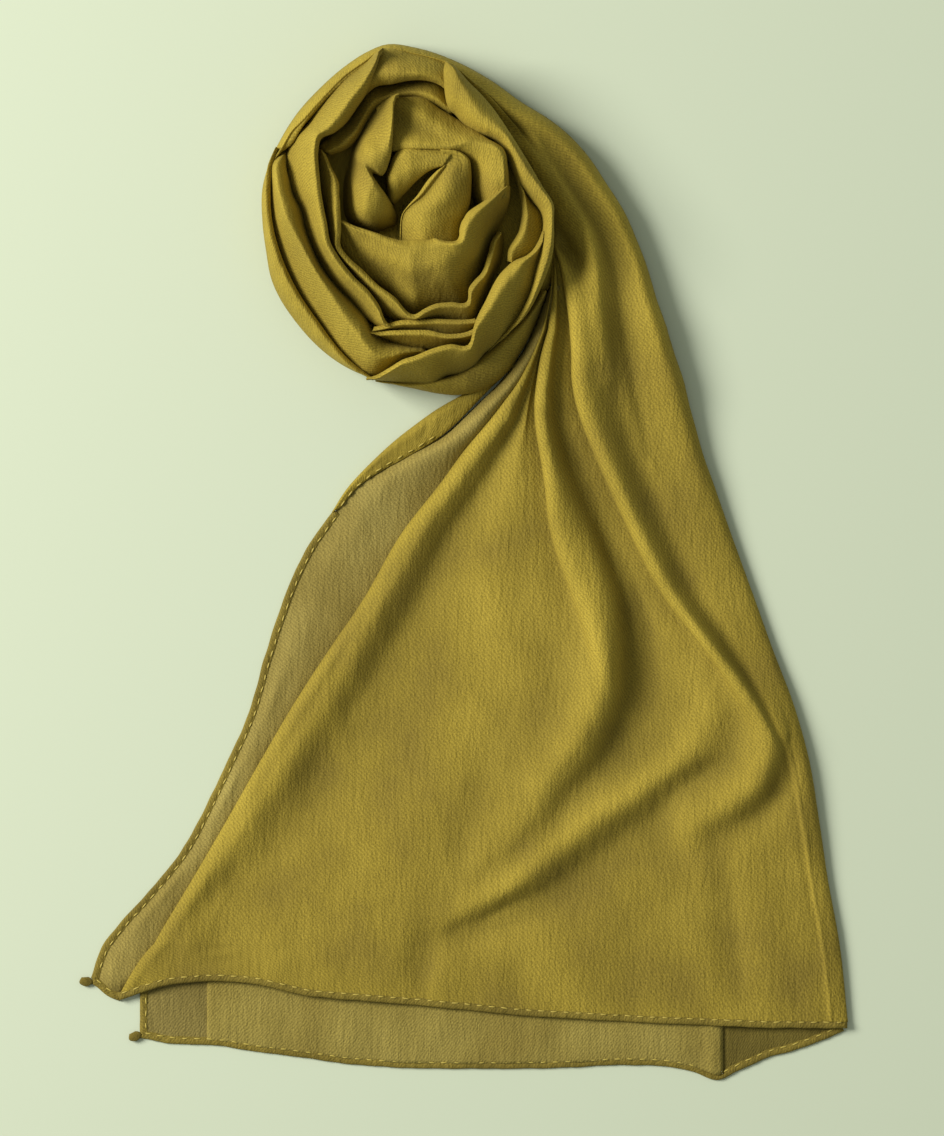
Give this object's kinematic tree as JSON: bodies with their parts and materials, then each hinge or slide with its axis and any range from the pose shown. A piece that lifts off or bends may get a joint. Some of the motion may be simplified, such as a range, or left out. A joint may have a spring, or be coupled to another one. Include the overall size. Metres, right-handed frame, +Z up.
{
  "type": "scarf wound into a rosette",
  "caption": "Long plain crepe chiffon scarf lying on a table, one end wound into a rosette and the folded tail fanned out to a narrow rolled hem.",
  "frame": {"origin": "centre of the scarf's outline seen from above, on the table it lies on", "axes": "+X across the tail towards its right side, +Y from the tail's hem towards the rosette, +Z up from the table"},
  "size_m": [0.3839, 0.5168, 0.046],
  "materials": {
    "olive_crepe": "matt crepe chiffon with a soft sheen",
    "olive_hem": "rolled and stitched hem of the same cloth"
  },
  "bodies": {
    "root": {"back_hem": "olive_hem", "back_panel": "olive_crepe", "back_side_hem": "olive_hem", "band_a": "olive_crepe", "band_a_low": "olive_crepe", "band_b": "olive_crepe", "band_c": "olive_crepe", "band_d": "olive_crepe", "band_e": "olive_crepe", "band_f": "olive_crepe", "band_g": "olive_crepe", "band_top": "olive_crepe", "bud": "olive_crepe", "bud_wrap": "olive_crepe", "core_layers": "olive_crepe", "flap_end_hem": "olive_hem", "flap_panel": "olive_crepe", "flap_side_hem": "olive_hem", "flap_turnback": "olive_crepe", "front_hem": "olive_hem", "front_panel": "olive_crepe", "gathers": "olive_crepe", "knot_back": "olive_hem", "knot_flap": "olive_hem", "outer_bottom": "olive_crepe", "outer_left": "olive_crepe", "outer_turn": "olive_crepe", "petal_left": "olive_crepe", "petal_low": "olive_crepe", "petal_top": "olive_crepe", "second_left": "olive_crepe", "sliver": "olive_crepe"}
  },
  "joints": []
}
